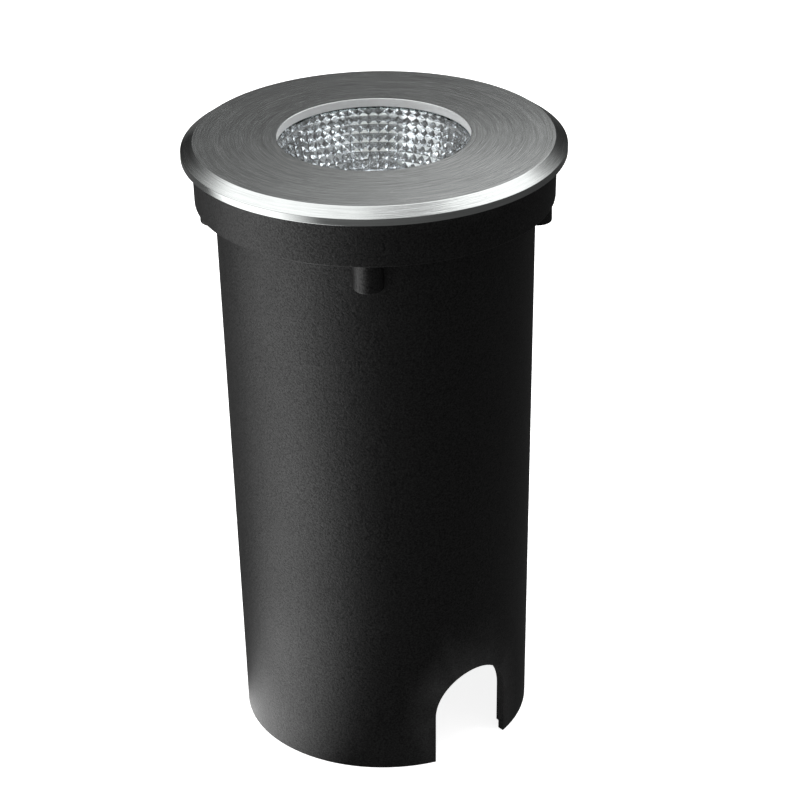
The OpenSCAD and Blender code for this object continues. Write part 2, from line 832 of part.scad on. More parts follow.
// A round lead along a path. side is a direction that the path never takes.
module lead(route, side) {
  path = smooth(route);
  n = len(path);
  m = lead_sides;
  points = [for (i = [0:n - 1])
    let (
      t = tangent(path, i),
      u = unit(cross(t, side)),
      v = cross(t, u)
    )
    for (j = [0:m - 1])
      path[i] + lead_d / 2 * (cos(360 * j / m) * u + sin(360 * j / m) * v)];
  walls = [for (i = [0:n - 2]) for (j = [0:m - 1])
    let (
      a = i * m + j,
      b = i * m + (j + 1) % m,
      c = b + m,
      d = a + m
    )
    each [[a, c, b], [a, d, c]]];
  polyhedron(
    points,
    concat(walls, [[for (j = [0:m - 1]) j]], [[for (j = [m - 1:-1:0]) (n - 1) * m + j]]),
    convexity = 8
  );
}

// side is 1 for the red lead and -1 for the black one
function led_route(side) = [
  [side * lead_gap, board_w / 2 + seat_gap, z_lead_exit],
  [side * lead_gap, (holder_d + lead_bend) / 2, z_lead_exit],
  [side * lead_gap, grommet_y - lead_bend, z_lead_exit + 2 * lead_lift],
  [side * grommet_lead_x, grommet_y, z_web_top + grommet_lip + 2 * lead_lift],
  [side * grommet_lead_x, grommet_y, z_web_top],
  [side * grommet_lead_x, grommet_y, z_web - grommet_lip - lead_lift],
  [side * (grommet_lead_x + lead_bend), grommet_y - lead_bend / 3, z_web - 1.6 * lead_bend],
  [side * driver_w / 4, grommet_y - lead_bend, z_web - 2.5 * lead_bend],
  [side * (driver_w / 2 - 1.6 * lead_bend), terminal_y, z_web - 2.2 * lead_bend],
  [side * (driver_w / 2 - lead_bend), bracket_y, z_web - 1.1 * lead_bend],
  [side * (driver_w / 2 - 2 * lead_bend), driver_y + 2 * lead_bend, z_web - 0.7 * lead_bend],
  [side * (driver_w / 2 - 3 * lead_bend), driver_y + lead_bend, z_driver_lead + 2 * lead_lift],
  [side * (driver_w / 2 - 3 * lead_bend), driver_y + lead_bend, z_driver_lead]
];
// side is 1 for the brown lead and -1 for the blue one
function mains_route(side) = [
  [side * pole_w, terminal_y, z_terminal_top - lead_bend],
  [side * pole_w, terminal_y, z_terminal_top + lead_bend],
  [side * (pole_w + 1.6 * lead_bend), terminal_y, z_terminal_top + 2.5 * lead_bend],
  [side * (driver_w / 2 - lead_bend / 2), bracket_y + 2 * lead_bend, z_driver_top - 1.4 * lead_bend],
  [side * (driver_w / 2 + lead_bend), bracket_y - 1.4 * lead_bend, z_driver_top - lead_bend / 3],
  [side * (driver_w / 2 + lead_bend * 0.7), driver_y, z_driver_top + lead_bend / 2],
  [side * (driver_w / 2 - lead_bend), driver_y - 1.5 * lead_bend, z_driver_top + 1.2 * lead_bend],
  [side * (driver_w / 2 - 2.4 * lead_bend), driver_y - 2 * lead_bend, z_driver_lead + 2 * lead_lift],
  [side * (driver_w / 2 - 2.4 * lead_bend), driver_y - 2 * lead_bend, z_driver_lead]
];

module led_lead_red() {
  color([0.75, 0.08, 0.06]) lead(led_route(1), [0.4, 0.3, 0.2]);
}

module led_lead_black() {
  color([0.05, 0.05, 0.05]) lead(led_route(-1), [-0.4, 0.3, 0.2]);
}

module mains_lead_brown() {
  color([0.35, 0.18, 0.08]) lead(mains_route(1), [0.4, 0.3, 0.2]);
}

module mains_lead_blue() {
  color([0.1, 0.25, 0.65]) lead(mains_route(-1), [-0.4, 0.3, 0.2]);
}

module web_grommet() {
  r = grommet_hole_d / 2;
  color([0.12, 0.12, 0.12])
    difference() {
      translate([0, grommet_y, 0]) {
        translate([0, 0, z_web]) cylinder(r = r, h = web_t);
        translate([0, 0, z_web_top]) cylinder(r = r + grommet_lip, h = grommet_lip);
        translate([0, 0, z_web - grommet_lip]) cylinder(r = r + grommet_lip, h = grommet_lip);
      }
      for (side = [-1, 1])
        translate([side * grommet_lead_x, grommet_y, z_web - 2 * grommet_lip])
          cylinder(d = lead_d + 2 * hole_room, h = web_t + 4 * grommet_lip);
    }
}

// Driver and terminals

module driver_case() {
  color([0.9, 0.9, 0.88])
    difference() {
      translate([0, driver_y, z_driver])
        round_box(driver_w, driver_d, driver_h, driver_corner_r);
      for (side = [-1, 1])
        translate([side * driver_screw_x, bracket_y, z_driver_screws])
          rotate([-quarter, 0, 0]) tapped_hole(small_screw_d, driver_bite + hole_end);
    }
}

module driver_lid() {
  color([0.82, 0.82, 0.8])
    translate([0, driver_y, z_driver_top])
      round_box(
        driver_w - 2 * driver_lid_inset,
        driver_d - 2 * driver_lid_inset,
        driver_lid_t,
        driver_corner_r
      );
}

module driver_bracket() {
  color([0.75, 0.76, 0.77])
    difference() {
      union() {
        translate([-bracket_w / 2, bracket_y, z_bracket])
          cube([bracket_w, bracket_t, z_web - z_bracket]);
        translate([-bracket_w / 2, bracket_y, z_web - bracket_t])
          cube([bracket_w, bracket_leg, bracket_t]);
      }
      for (side = [-1, 1])
        translate([side * bracket_screw_x, bracket_screw_y, z_web - bracket_t - over])
          cylinder(d = small_screw_d + hole_room, h = bracket_t + 2 * over);
      for (side = [-1, 1])
        translate([side * driver_screw_x, bracket_y - over, z_driver_screws])
          rotate([-quarter, 0, 0]) cylinder(d = small_screw_d + hole_room, h = bracket_t + 2 * over);
    }
}

module bracket_screws() {
  color([0.7, 0.71, 0.72])
    for (side = [-1, 1])
      translate([side * bracket_screw_x, bracket_screw_y, z_web - bracket_t])
        mirror([0, 0, 1]) cap_screw(small_screw_d, small_head_d, small_head_h, bracket_t + floor_bite);
}

module driver_screws() {
  color([0.7, 0.71, 0.72])
    for (side = [-1, 1])
      translate([side * driver_screw_x, bracket_y + bracket_t, z_driver_screws])
        rotate([-quarter, 0, 0])
          cap_screw(small_screw_d, small_head_d, small_head_h, bracket_t + driver_bite);
}

// Children at each pole, at the terminal block's foot
module at_poles() {
  for (i = [0:poles - 1])
    translate([(i - (poles - 1) / 2) * pole_w, terminal_y, z_terminal]) children();
}

module terminal_block() {
  color([0.9, 0.9, 0.86])
    difference() {
      union()
        at_poles() round_box(pole_w, terminal_d, terminal_h, edge_r);
      at_poles() {
        translate([0, 0, -over]) cylinder(d = wire_hole_d, h = terminal_h / 2 + over);
        cylinder(d = lead_d + 2 * hole_room, h = terminal_h + over);
        translate([0, 0, terminal_h / 2])
          rotate([-quarter, 0, 0]) cylinder(d = wire_hole_d, h = terminal_d);
      }
    }
}

module terminal_screws() {
  y = terminal_d / 2 - terminal_screw_in - terminal_screw_h;
  color([0.7, 0.71, 0.72])
    at_poles()
      translate([0, y, terminal_h / 2])
        rotate([-quarter, 0, 0]) cylinder(d = wire_hole_d - tapped_room, h = terminal_screw_h);
}

// Rear cover and cable entry

module rear_cover() {
  color([0.5, 0.51, 0.52])
    difference() {
      translate([0, 0, z_rear_under])
        rotate_extrude()
          polygon([[0, 0], [fin_r - edge_r, 0], [fin_r, edge_r], [fin_r, rear_cover_t], [0, rear_cover_t]]);
      translate([0, 0, z_rear - rear_seal_t])
        ring(rear_seal_out_r, chamber_r + seat_gap, rear_seal_t + over);
      translate([0, entry_offset, z_rear_under - over])
        cylinder(d = gland_d + tapped_room, h = rear_cover_t + 2 * over);
      translate([0, -entry_offset, z_rear_under - over])
        cylinder(d = vent_d + tapped_room, h = rear_cover_t + 2 * over);
      at_angles(rear_angles, rear_screw_ring_r)
        translate([0, 0, z_rear_under - over])
          cylinder(d = small_screw_d + hole_room, h = rear_cover_t + 2 * over);
    }
}

module rear_seal() {
  color([0.12, 0.12, 0.12])
    translate([0, 0, z_rear - rear_seal_t])
      ring(rear_seal_out_r - seat_gap, chamber_r + 2 * seat_gap, rear_seal_t);
}

module rear_screws() {
  color([0.7, 0.71, 0.72])
    at_angles(rear_angles, rear_screw_ring_r)
      translate([0, 0, z_rear_under])
        mirror([0, 0, 1]) cap_screw(small_screw_d, small_head_d, small_head_h, rear_screw_len);
}

module gland_body() {
  thread_h = rear_cover_t + gland_washer_t + locknut_h;
  color([0.1, 0.1, 0.1])
    translate([0, entry_offset, 0])
      difference() {
        union() {
          translate([0, 0, z_gland_hex]) hexagon(gland_hex, gland_flange_t);
          translate([0, 0, z_gland_hex + gland_flange_t - join]) cylinder(d = gland_d, h = thread_h + join);
          translate([0, 0, z_gland_hex - gland_spigot_h])
            cylinder(d = gland_spigot_d, h = gland_spigot_h + join);
        }
        translate([0, 0, z_gland_hex - gland_spigot_h - over])
          cylinder(r = gland_bore_r, h = gland_spigot_h + over);
        translate([0, 0, z_gland_hex - over])
          cylinder(r = gland_throat_r, h = thread_h + gland_flange_t + 2 * over);
      }
}

module gland_washer() {
  color([0.14, 0.14, 0.14])
    translate([0, entry_offset, z_rear_under - gland_washer_t])
      ring(gland_hex / 2 - seat_gap, gland_d / 2 + run_gap, gland_washer_t);
}

module gland_locknut() {
  color([0.1, 0.1, 0.1])
    translate([0, entry_offset, z_rear])
      difference() {
        hexagon(gland_hex, locknut_h);
        translate([0, 0, -over]) cylinder(d = gland_d + tapped_room, h = locknut_h + 2 * over);
      }
}

module gland_insert() {
  color([0.2, 0.2, 0.2])
    translate([0, entry_offset, z_gland_hex - gland_insert_h])
      ring(gland_insert_r, cable_bore_d / 2, gland_insert_h);
}

module gland_nut() {
  hex_h = gland_nut_h - gland_dome_r;
  outer = gland_hex / 2;
  color([0.1, 0.1, 0.1])
    translate([0, entry_offset, z_gland_hex - gland_nut_h])
      difference() {
        union() {
          translate([0, 0, gland_dome_r]) hexagon(gland_hex, hex_h - gland_nut_gap);
          rotate_extrude()
            polygon(concat(
              [[0, 0]],
              arc([outer - gland_dome_r, gland_dome_r], gland_dome_r, -quarter, 0),
              [[outer, gland_dome_r + over], [0, gland_dome_r + over]]
            ));
        }
        translate([0, 0, gland_nut_h - gland_spigot_h - gland_nut_gap])
          cylinder(d = gland_spigot_d + 2 * run_gap, h = gland_spigot_h + over);
        translate([0, 0, -over]) cylinder(r = gland_mouth_r, h = gland_nut_h);
      }
}

module vent_plug() {
  color([0.1, 0.1, 0.1])
    translate([0, -entry_offset, z_rear_under]) {
      difference() {
        union() {
          translate([0, 0, -vent_cap_h])
            rotate_extrude()
              polygon(concat(
                [[0, 0]],
                arc([vent_cap_d / 2 - vent_round, vent_round], vent_round, -quarter, 0),
                [[vent_cap_d / 2, vent_cap_h], [0, vent_cap_h]]
              ));
          translate([0, 0, -join]) cylinder(d = vent_d, h = rear_cover_t + join + vent_tip);
        }
        translate([0, 0, -vent_cap_h / 2]) cylinder(d = vent_d / 2, h = rear_cover_t + vent_cap_h);
        for (a = vent_angles)
          rotate(a)
            translate([0, 0, -vent_cap_h / 2])
              rotate([0, quarter, 0]) cylinder(d = vent_hole_d, h = vent_cap_d);
      }
    }
}

mounting_pot();
pot_inserts();
flange_seal();
lamp_housing();
fixing_screws();
cover_ring();
cover_studs();
cover_gasket();
stud_bushes();
glass();
glass_seal();
clamp_ring();
clamp_screws();
reflector();
led_module();
led_emitter();
led_holder();
holder_screws();
thermal_pad();
web_grommet();
led_lead_red();
led_lead_black();
driver_case();
driver_lid();
driver_bracket();
bracket_screws();
driver_screws();
terminal_block();
terminal_screws();
mains_lead_brown();
mains_lead_blue();
rear_cover();
rear_seal();
rear_screws();
gland_body();
gland_washer();
gland_locknut();
gland_insert();
gland_nut();
vent_plug();
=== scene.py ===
"""Looks of the in-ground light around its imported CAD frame. All lengths are in metres."""
import json
import math

import bmesh
import bpy
from mathutils import Matrix, Vector


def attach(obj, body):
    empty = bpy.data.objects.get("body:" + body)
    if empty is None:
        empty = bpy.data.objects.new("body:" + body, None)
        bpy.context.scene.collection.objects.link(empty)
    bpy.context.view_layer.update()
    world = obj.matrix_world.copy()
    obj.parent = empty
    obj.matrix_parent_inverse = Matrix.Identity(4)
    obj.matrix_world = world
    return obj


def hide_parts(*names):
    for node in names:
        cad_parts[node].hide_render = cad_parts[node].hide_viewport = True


MM = 0.001

# Camera fitted to the photograph's edges, then turned so that the bosses lie on X and Y
VIEW_TURN = math.radians(2.41)
CAMERA_AT = (6.765 * MM, -818.925 * MM, 536.508 * MM)
CAMERA_FORWARD = (0, 0.88948, -0.45698)
CAMERA_ROLL = math.radians(-1.105)
CAMERA_LENS = 122.57
CAMERA_SENSOR = 36
CAMERA_CLIP = 0.01

# Cover, as turned: flat top, blend, chamfer, straight edge
COVER_R = 62.5
COVER_RIM_IN_R = 59.7
COVER_TOP = 212.4
COVER_UNDER = 210.5
COVER_EDGE_TOP = 209.3
COVER_EDGE_LOW = 207.0
COVER_FLAT_R = 58.6
COVER_CROWN = 0.4
COVER_BLEND = 0.25
APERTURE_R = 31.35
LIP_R = 33.95
LIP_Z = 209.5
SMALL_BREAK = 0.2
BREAK_STEPS = 5
BLEND_STEPS = 14
COVER_SEGMENTS = 288
COVER_SHARP = 25
FLAT_GUARD = 0.12

# Reflector bowl, the same curve as in the CAD
MOUTH_R = 34.2
MOUTH_Z = 206.0
SIDE_H = 20.5
TAPER = 4.7
BOWL_H = 28.0
EXIT_R = 11.0
BOWL_WALL = 1.0
FLANGE_R = 36.35
FLANGE_T = 1.2
MOUTH_ROLL = 0.3
SIDE_ROWS = 7
FLOOR_ROWS = 6
SIDE_GROWTH = 1.08
FLOOR_GROWTH = 0.8
STUD_COLUMNS = 64
STUD_RISE = 0.45
STUD_CURVE = 1.15
STUD_SPLITS = 5
STUD_SHARP = 12
ROW_STEP = 0.05

# Limits between which a noise's values mostly lie, their narrow middle, and the pointiness from a plain face
# to a convex edge
NOISE_RANGE = (0.3, 0.7)
TONE_RANGE = (0.35, 0.65)
EDGE_RANGE = (0.52, 0.6)

# Radiances that the object mirrors, by direction (x to the right, y to the back, z up). Pairs are the limits
# of a soft rise or fall. First a sky that rises exponentially with height, with a dip at the zenith
SKY_LOW = 0.0036
SKY_RISE = 9.9
SKY_LEAN = 0.3
SKY_DIM = 0.03
SKY_WHITE = 2.0
ZENITH = (0.15, -0.05)
ZENITH_REACH = (0.15, 0.33)
ZENITH_SHARE = 0.5

# Towards the front the sky goes dark, further out at the left than at the right
SKY_FRONT = 0.06
FRONT_SKEW = 0.4
FRONT_ACROSS = (-0.6, -0.1)
FRONT_START = (-0.6, -0.2)
FRONT_END = 0.06

# A glow behind, at the height that the cover's flat mirrors
GLOW = 1.0
GLOW_ACROSS = ((-0.12, 0.1), (0.3, 0.6))
GLOW_UP = (0.33, 0.46)

# A key high at the front left, and a dim round for other angles
KEY = 1.6
KEY_ACROSS = ((-0.75, -0.5), (-0.1, 0.15))
KEY_ALONG = ((-0.8, -0.5), (0.0, 0.2))
KEY_UP = (0.3, 0.5)
ROUND = 0.25
ROUND_ALONG = (0.1, 0.5)
ROUND_UP = ((0.02, 0.15), (0.4, 0.55))

# A panel low at the left
PANEL = 1.5
PANEL_ACROSS = (-0.7, -0.6)
PANEL_ALONG = ((-0.6, -0.45), (0.15, 0.3))
PANEL_UP = (0.1, 0.19)

# The floor: its looks, and in reflections a painted reflection: a white painted card of light by bearing (0
# is left, 90 is front) on a ground of painted shade, darker to the right where the object's shadow falls,
# darker to the back, and darkest close to the object as a painted contact shadow. The painted shade's rows
# are the limits of a place and the levels at them
FLOOR_HALF = 6.0
FLOOR_GREY = 0.8
FLOOR_GLOW = 0.88
PAINTED_CARD = 3.0
PAINTED_CARD_RISE = (math.radians(-10), math.radians(18))
PAINTED_CARD_FALL = (math.radians(32), math.radians(82))
PAINTED_CARD_TURN = (0.2, 0.42, 0.0, 0.2)
PAINTED_SHADE_ACROSS = (-0.3, 0.4, 0.21, 0.1)
PAINTED_SHADE_ALONG = (-0.1, 0.4, 1.0, 0.6)
PAINTED_SHADE_AWAY = (0.05, 0.4, 0.8, 1.0)

# Light that isn't mirrored: the world's share, and lamps by name, place, aim, width, height and radiance
FILL = 0.25
SOFTBOXES = (
    ("left_box", (-0.75, -0.35, 0.45), (0, 0, 0.1), 0.7, 1.0, 1.1),
    ("top_box", (-0.1, 0.2, 1.2), (-0.1, 0.2, 0.2), 2.0, 1.0, 3.1),
    ("right_box", (0.9, -0.5, 0.6), (0, 0, 0.1), 0.7, 1.0, 0.4),
)


# --- meshes -----------------------------------------------------------------

def add_object(name, mesh):
    obj = bpy.data.objects.new(name, mesh)
    bpy.context.scene.collection.objects.link(obj)
    return obj


def smooth_by_angle(mesh, degrees):
    for face in mesh.polygons:
        face.use_smooth = True
    mesh.set_sharp_from_angle(angle=math.radians(degrees))


def rounded(before, corner, after, radius, steps):
    """Points of the round that replaces a corner between its neighbours."""
    p = Vector(corner)
    u = (Vector(before) - p).normalized()
    v = (Vector(after) - p).normalized()
    half = u.angle(v) / 2
    centre = p + (u + v).normalized() * radius / math.sin(half)
    first = p + u * radius / math.tan(half) - centre
    last = p + v * radius / math.tan(half) - centre
    start = math.atan2(first.y, first.x)
    turn = math.atan2(first.x * last.y - first.y * last.x, first.dot(last))
    return [
        (centre.x + radius * math.cos(start + turn * i / steps),
         centre.y + radius * math.sin(start + turn * i / steps))
        for i in range(steps + 1)
    ]


def guarded(profile):
    """The closed profile with a point close to each end of its long edges, so that flats shade flat."""
    points = []
    for start, end in zip(profile, profile[1:] + profile[:1]):
        a, b = Vector(start), Vector(end)
        points.append(start)
        if (b - a).length > 4 * FLAT_GUARD:
            step = (b - a).normalized() * FLAT_GUARD
            points += [tuple(a + step), tuple(b - step)]
    return points


def lathe(name, profile, segments, sharp):
    """A closed turned piece from a closed profile of (r, z) points in millimetres."""
    profile = guarded(profile)
    mesh = bpy.data.meshes.new(name)
    count = len(profile)
    verts = []
    for i in range(segments):
        a = 2 * math.pi * i / segments
        for r, z in profile:
            verts.append((r * MM * math.cos(a), r * MM * math.sin(a), z * MM))
    faces = []
    for i in range(segments):
        j = (i + 1) % segments
        for k in range(count):
            m = (k + 1) % count
            faces.append((i * count + k, j * count + k, j * count + m, i * count + m))
    mesh.from_pydata(verts, [], faces)
    fix_normals(mesh)
    smooth_by_angle(mesh, sharp)
    return add_object(name, mesh)


def fix_normals(mesh):
    bm = bmesh.new()
    bm.from_mesh(mesh)
    bmesh.ops.recalc_face_normals(bm, faces=bm.faces)
    bm.to_mesh(mesh)
    bm.free()


# --- node materials ---------------------------------------------------------

class Tree:
    """Short names for building a node tree."""

    def __init__(self, tree):
        self.tree = tree

    def add(self, kind, settings=None, inputs=None):
        node = self.tree.nodes.new(kind)
        for key, value in (settings or {}).items():
            setattr(node, key, value)
        for key, value in (inputs or {}).items():
            self.put(node.inputs[key], value)
        return node

    def put(self, socket, value):
        if isinstance(value, bpy.types.NodeSocket):
            self.tree.links.new(value, socket)
        else:
            socket.default_value = value

    def math(self, operation, first, *others):
        """One value from several, taken in turn."""
        for value in others or (0.0,):
            first = self.add("ShaderNodeMath", {"operation": operation}, {0: first, 1: value}).outputs[0]
        return first

    def times(self, *values):
        return self.math("MULTIPLY", *values)

    def plus(self, *values):
        return self.math("ADD", *values)

    def minus(self, a, b):
        return self.math("SUBTRACT", a, b)

    def largest(self, *values):
        return self.math("MAXIMUM", *values)

    def length(self, x, y):
        return self.math("SQRT", self.plus(self.times(x, x), self.times(y, y)))

    def split(self, vector):
        return self.add("ShaderNodeSeparateXYZ", None, {0: vector}).outputs

    def spread(self, value, low, high, to_low, to_high, soft=False):
        """The value's range from low to high, spread over another one."""
        kind = "SMOOTHSTEP" if soft else "LINEAR"
        node = self.add("ShaderNodeMapRange", {"interpolation_type": kind}, {
            "Value": value, "From Min": low, "From Max": high, "To Min": to_low, "To Max": to_high})
        return node.outputs["Result"]

    def rise(self, value, limits):
        return self.spread(value, *limits, 0.0, 1.0, True)

    def fall(self, value, limits):
        return self.spread(value, *limits, 1.0, 0.0, True)

    def within(self, value, rise, fall):
        """Rises softly from 0 to 1 over the first pair of limits and falls back over the second."""
        return self.times(self.rise(value, rise), self.fall(value, fall))


class Nodes(Tree):
    """One material's node tree round its Principled shader."""

    def __init__(self, name, sockets):
        self.material = bpy.data.materials.new(name)
        self.material.use_nodes = True
        super().__init__(self.material.node_tree)
        self.shader = self.tree.nodes["Principled BSDF"]
        self.output = self.tree.nodes["Material Output"]
        for key, value in sockets.items():
            self.shader.inputs[key].default_value = value

    def drive(self, key, value):
        self.put(self.shader.inputs[key], value)

    def place(self):
        return self.add("ShaderNodeTexCoord").outputs["Object"]

    def noise(self, vector, scale, detail=3.0, roughness=0.55):
        node = self.add("ShaderNodeTexNoise", None, {
            "Vector": vector, "Scale": scale, "Detail": detail, "Roughness": roughness})
        return node.outputs["Fac"]

    def mix(self, factor, a, b):
        node = self.add("ShaderNodeMix", {"data_type": "RGBA"}, {"Factor": factor})
        self.put(node.inputs[6], a)
        self.put(node.inputs[7], b)
        return node.outputs[2]

    def bump(self, height, strength, distance):
        node = self.add("ShaderNodeBump", None, {
            "Height": height, "Strength": strength, "Distance": distance})
        return node.outputs["Normal"]

    def vary(self, noise, low, high):
        """From low to high over the middle of a noise's range."""
        return self.spread(noise, *NOISE_RANGE, low, high)

    def blend(self, noise, a, b):
        """From one colour to the other over the narrow middle of a noise's range."""
        return self.mix(self.spread(noise, *TONE_RANGE, 0.0, 1.0), a, b)

    def convex_edge(self):
        """0 on plain faces, up to 1 on convex edges."""
        point = self.add("ShaderNodeNewGeometry").outputs["Pointiness"]
        return self.spread(point, *EDGE_RANGE, 0.0, 1.0)

    def polar(self, radial, angular):
        """Place with the radius and the direction scaled apart, so that noise follows a lathe's cut."""
        x, y, z = self.split(self.place())
        r = self.length(x, y)
        out = self.times(self.minus(r, z), radial)
        across = self.times(self.math("DIVIDE", x, r), angular)
        along = self.times(self.math("DIVIDE", y, r), angular)
        return self.add("ShaderNodeCombineXYZ", None, {0: out, 1: across, 2: along}).outputs[0]


def grey(value):
    return (value, value, value, 1.0)


def shade(colour, factor):
    return (colour[0] * factor, colour[1] * factor, colour[2] * factor, 1.0)


def brushed_cover():
    """Turned stainless steel: streaks along the cut, a few scratches, faint patches."""
    n = Nodes("brushed_cover", {"Metallic": 1.0})
    streaks = n.noise(n.polar(3400.0, 6.0), 1.0, 2.0, 0.6)
    long_streaks = n.noise(n.polar(1500.0, 2.5), 1.0, 3.0, 0.6)
    scratches = n.spread(n.noise(n.polar(2300.0, 16.0), 1.0, 1.0, 0.5), 0.66, 0.74, 0.0, 1.0)
    patches = n.noise(n.place(), 55.0, 3.0)
    both = n.times(n.plus(streaks, long_streaks), 0.5)
    tone = n.plus(n.times(both, 0.75), n.times(patches, 0.25))
    n.drive("Base Color", n.blend(tone, (0.418, 0.432, 0.427, 1), (0.556, 0.574, 0.568, 1)))
    n.drive("Roughness", n.plus(n.vary(both, 0.12, 0.2), n.times(scratches, 0.05)))
    height = n.minus(both, n.times(scratches, 0.15))
    n.drive("Normal", n.bump(height, 0.42, 0.00008))
    return n.material


def bored_wall_painted_light():
    """The aperture's wall: the cover's steel, bored and left satin, with painted light: a pale, almost
    non-metal copy of the steel that reads evenly lit.
    """
    n = Nodes("bored_wall_painted_light", {"Metallic": 0.1})
    rings = n.noise(n.polar(5200.0, 2.0), 1.0, 2.0, 0.6)
    # painted light: a near-white base on almost non-metal steel gives the wall its even, lit look
    n.drive("Base Color", n.mix(n.vary(rings, 0.0, 1.0), (0.76, 0.765, 0.77, 1), (0.83, 0.835, 0.84, 1)))
    n.drive("Roughness", n.vary(rings, 0.55, 0.68))
    n.drive("Normal", n.bump(rings, 0.15, 0.00004))
    return n.material


def pot_plastic():
    """Black moulded plastic with a fine grain, glossier on its peaks, and paler on its convex edges, more so
    in cloudy patches.
    """
    n = Nodes("pot_plastic", {"IOR": 1.48})
    grain = n.noise(n.place(), 1750.0, 2.0, 0.6)
    coarse = n.noise(n.place(), 800.0, 3.0, 0.6)
    cloud = n.noise(n.place(), 28.0, 4.0)
    colour = n.mix(n.spread(grain, 0.3, 0.75, 0.0, 1.0), grey(0.0004), (0.0014, 0.0015, 0.0015, 1))
    # paler on convex edges, more so in cloudy patches
    pale_edges = n.times(n.convex_edge(), n.spread(cloud, 0.35, 0.7, 0.1, 0.5))
    n.drive("Base Color", n.mix(pale_edges, colour, grey(0.05)))
    n.drive("Roughness", n.vary(n.plus(n.times(grain, 0.5), n.times(cloud, 0.5)), 0.47, 0.6))
    n.drive("Specular IOR Level", n.vary(grain, 0.25, 0.75))
    height = n.plus(n.times(grain, 0.6), n.times(coarse, 0.4))
    n.drive("Normal", n.bump(height, 0.6, 0.0004))
    return n.material


def chrome_studs():
    """Bright metallised studs with a faint haze."""
    n = Nodes("chrome_studs", {"Metallic": 1.0})
    haze = n.noise(n.place(), 260.0, 4.0)
    fine = n.noise(n.place(), 2400.0, 2.0)
    n.drive("Base Color", n.blend(haze, (0.60, 0.612, 0.63, 1), (0.70, 0.71, 0.725, 1)))
    n.drive("Roughness", n.vary(haze, 0.012, 0.04))
    n.drive("Normal", n.bump(fine, 0.05, 0.00002))
    return n.material


def clear_glass():
    """Refracts for the eye, and lets the lamps' light through to what lies below."""
    n = Nodes("clear_glass", {
        "Base Color": (0.96, 0.985, 0.98, 1), "Transmission Weight": 1.0, "IOR": 1.5})
    smear = n.noise(n.place(), 60.0, 4.0)
    n.drive("Roughness", n.spread(smear, 0.45, 0.75, 0.0, 0.02))
    path = n.add("ShaderNodeLightPath")
    clear = n.add("ShaderNodeBsdfTransparent", None, {"Color": (0.92, 0.95, 0.94, 1)})
    both = n.add("ShaderNodeMixShader", None, {0: path.outputs["Is Shadow Ray"]})
    n.put(both.inputs[1], n.shader.outputs[0])
    n.put(both.inputs[2], clear.outputs[0])
    n.put(n.output.inputs["Surface"], both.outputs[0])
    return n.material


def metal(name, colour, rough, grain_scale, bump, stretch=None):
    """Plain metal with a cast or drawn grain and brighter edges."""
    n = Nodes(name, {"Metallic": 1.0})
    place = n.place()
    if stretch:
        place = n.add("ShaderNodeVectorMath", {"operation": "MULTIPLY"}, {0: place, 1: stretch}).outputs[0]
    grain = n.noise(place, grain_scale, 3.0, 0.6)
    cloud = n.noise(n.place(), 40.0, 4.0)
    tone = n.mix(n.vary(cloud, 0.0, 1.0), shade(colour, 0.82), shade(colour, 1.06))
    n.drive("Base Color", n.mix(n.times(n.convex_edge(), 0.6), tone, shade(colour, 1.3)))
    n.drive("Roughness", n.vary(grain, rough - 0.08, rough + 0.1))
    n.drive("Normal", n.bump(grain, bump, 0.0001))
    return n.material


def plastic(name, colour, rough, grain_scale=1800.0, bump=0.15, sheen=0.0):
    """Moulded plastic or rubber with fine grain, faint clouds and paler edges."""
    n = Nodes(name, {"Sheen Weight": sheen, "IOR": 1.48})
    grain = n.noise(n.place(), grain_scale, 2.0, 0.6)
    cloud = n.noise(n.place(), 45.0, 4.0)
    tone = n.mix(n.vary(cloud, 0.0, 1.0), shade(colour, 0.86), shade(colour, 1.08))
    pale = tuple(min(c + 0.05, 1.0) for c in colour[:3]) + (1.0,)
    n.drive("Base Color", n.mix(n.times(n.convex_edge(), 0.5), tone, pale))
    n.drive("Roughness", n.vary(grain, rough - 0.06, rough + 0.06))
    n.drive("Normal", n.bump(grain, bump, 0.00008))
    return n.material


def phosphor():
    """The light source's face, paler than usual because the photograph's studs mirror no yellow."""
    n = Nodes("phosphor", {"Coat Weight": 0.6, "Coat Roughness": 0.15})
    specks = n.noise(n.place(), 3200.0, 2.0)
    n.drive("Base Color", n.blend(specks, (0.58, 0.58, 0.55, 1), (0.66, 0.66, 0.63, 1)))
    n.drive("Roughness", n.vary(specks, 0.35, 0.5))
    n.drive("Normal", n.bump(specks, 0.2, 0.00005))
    return n.material


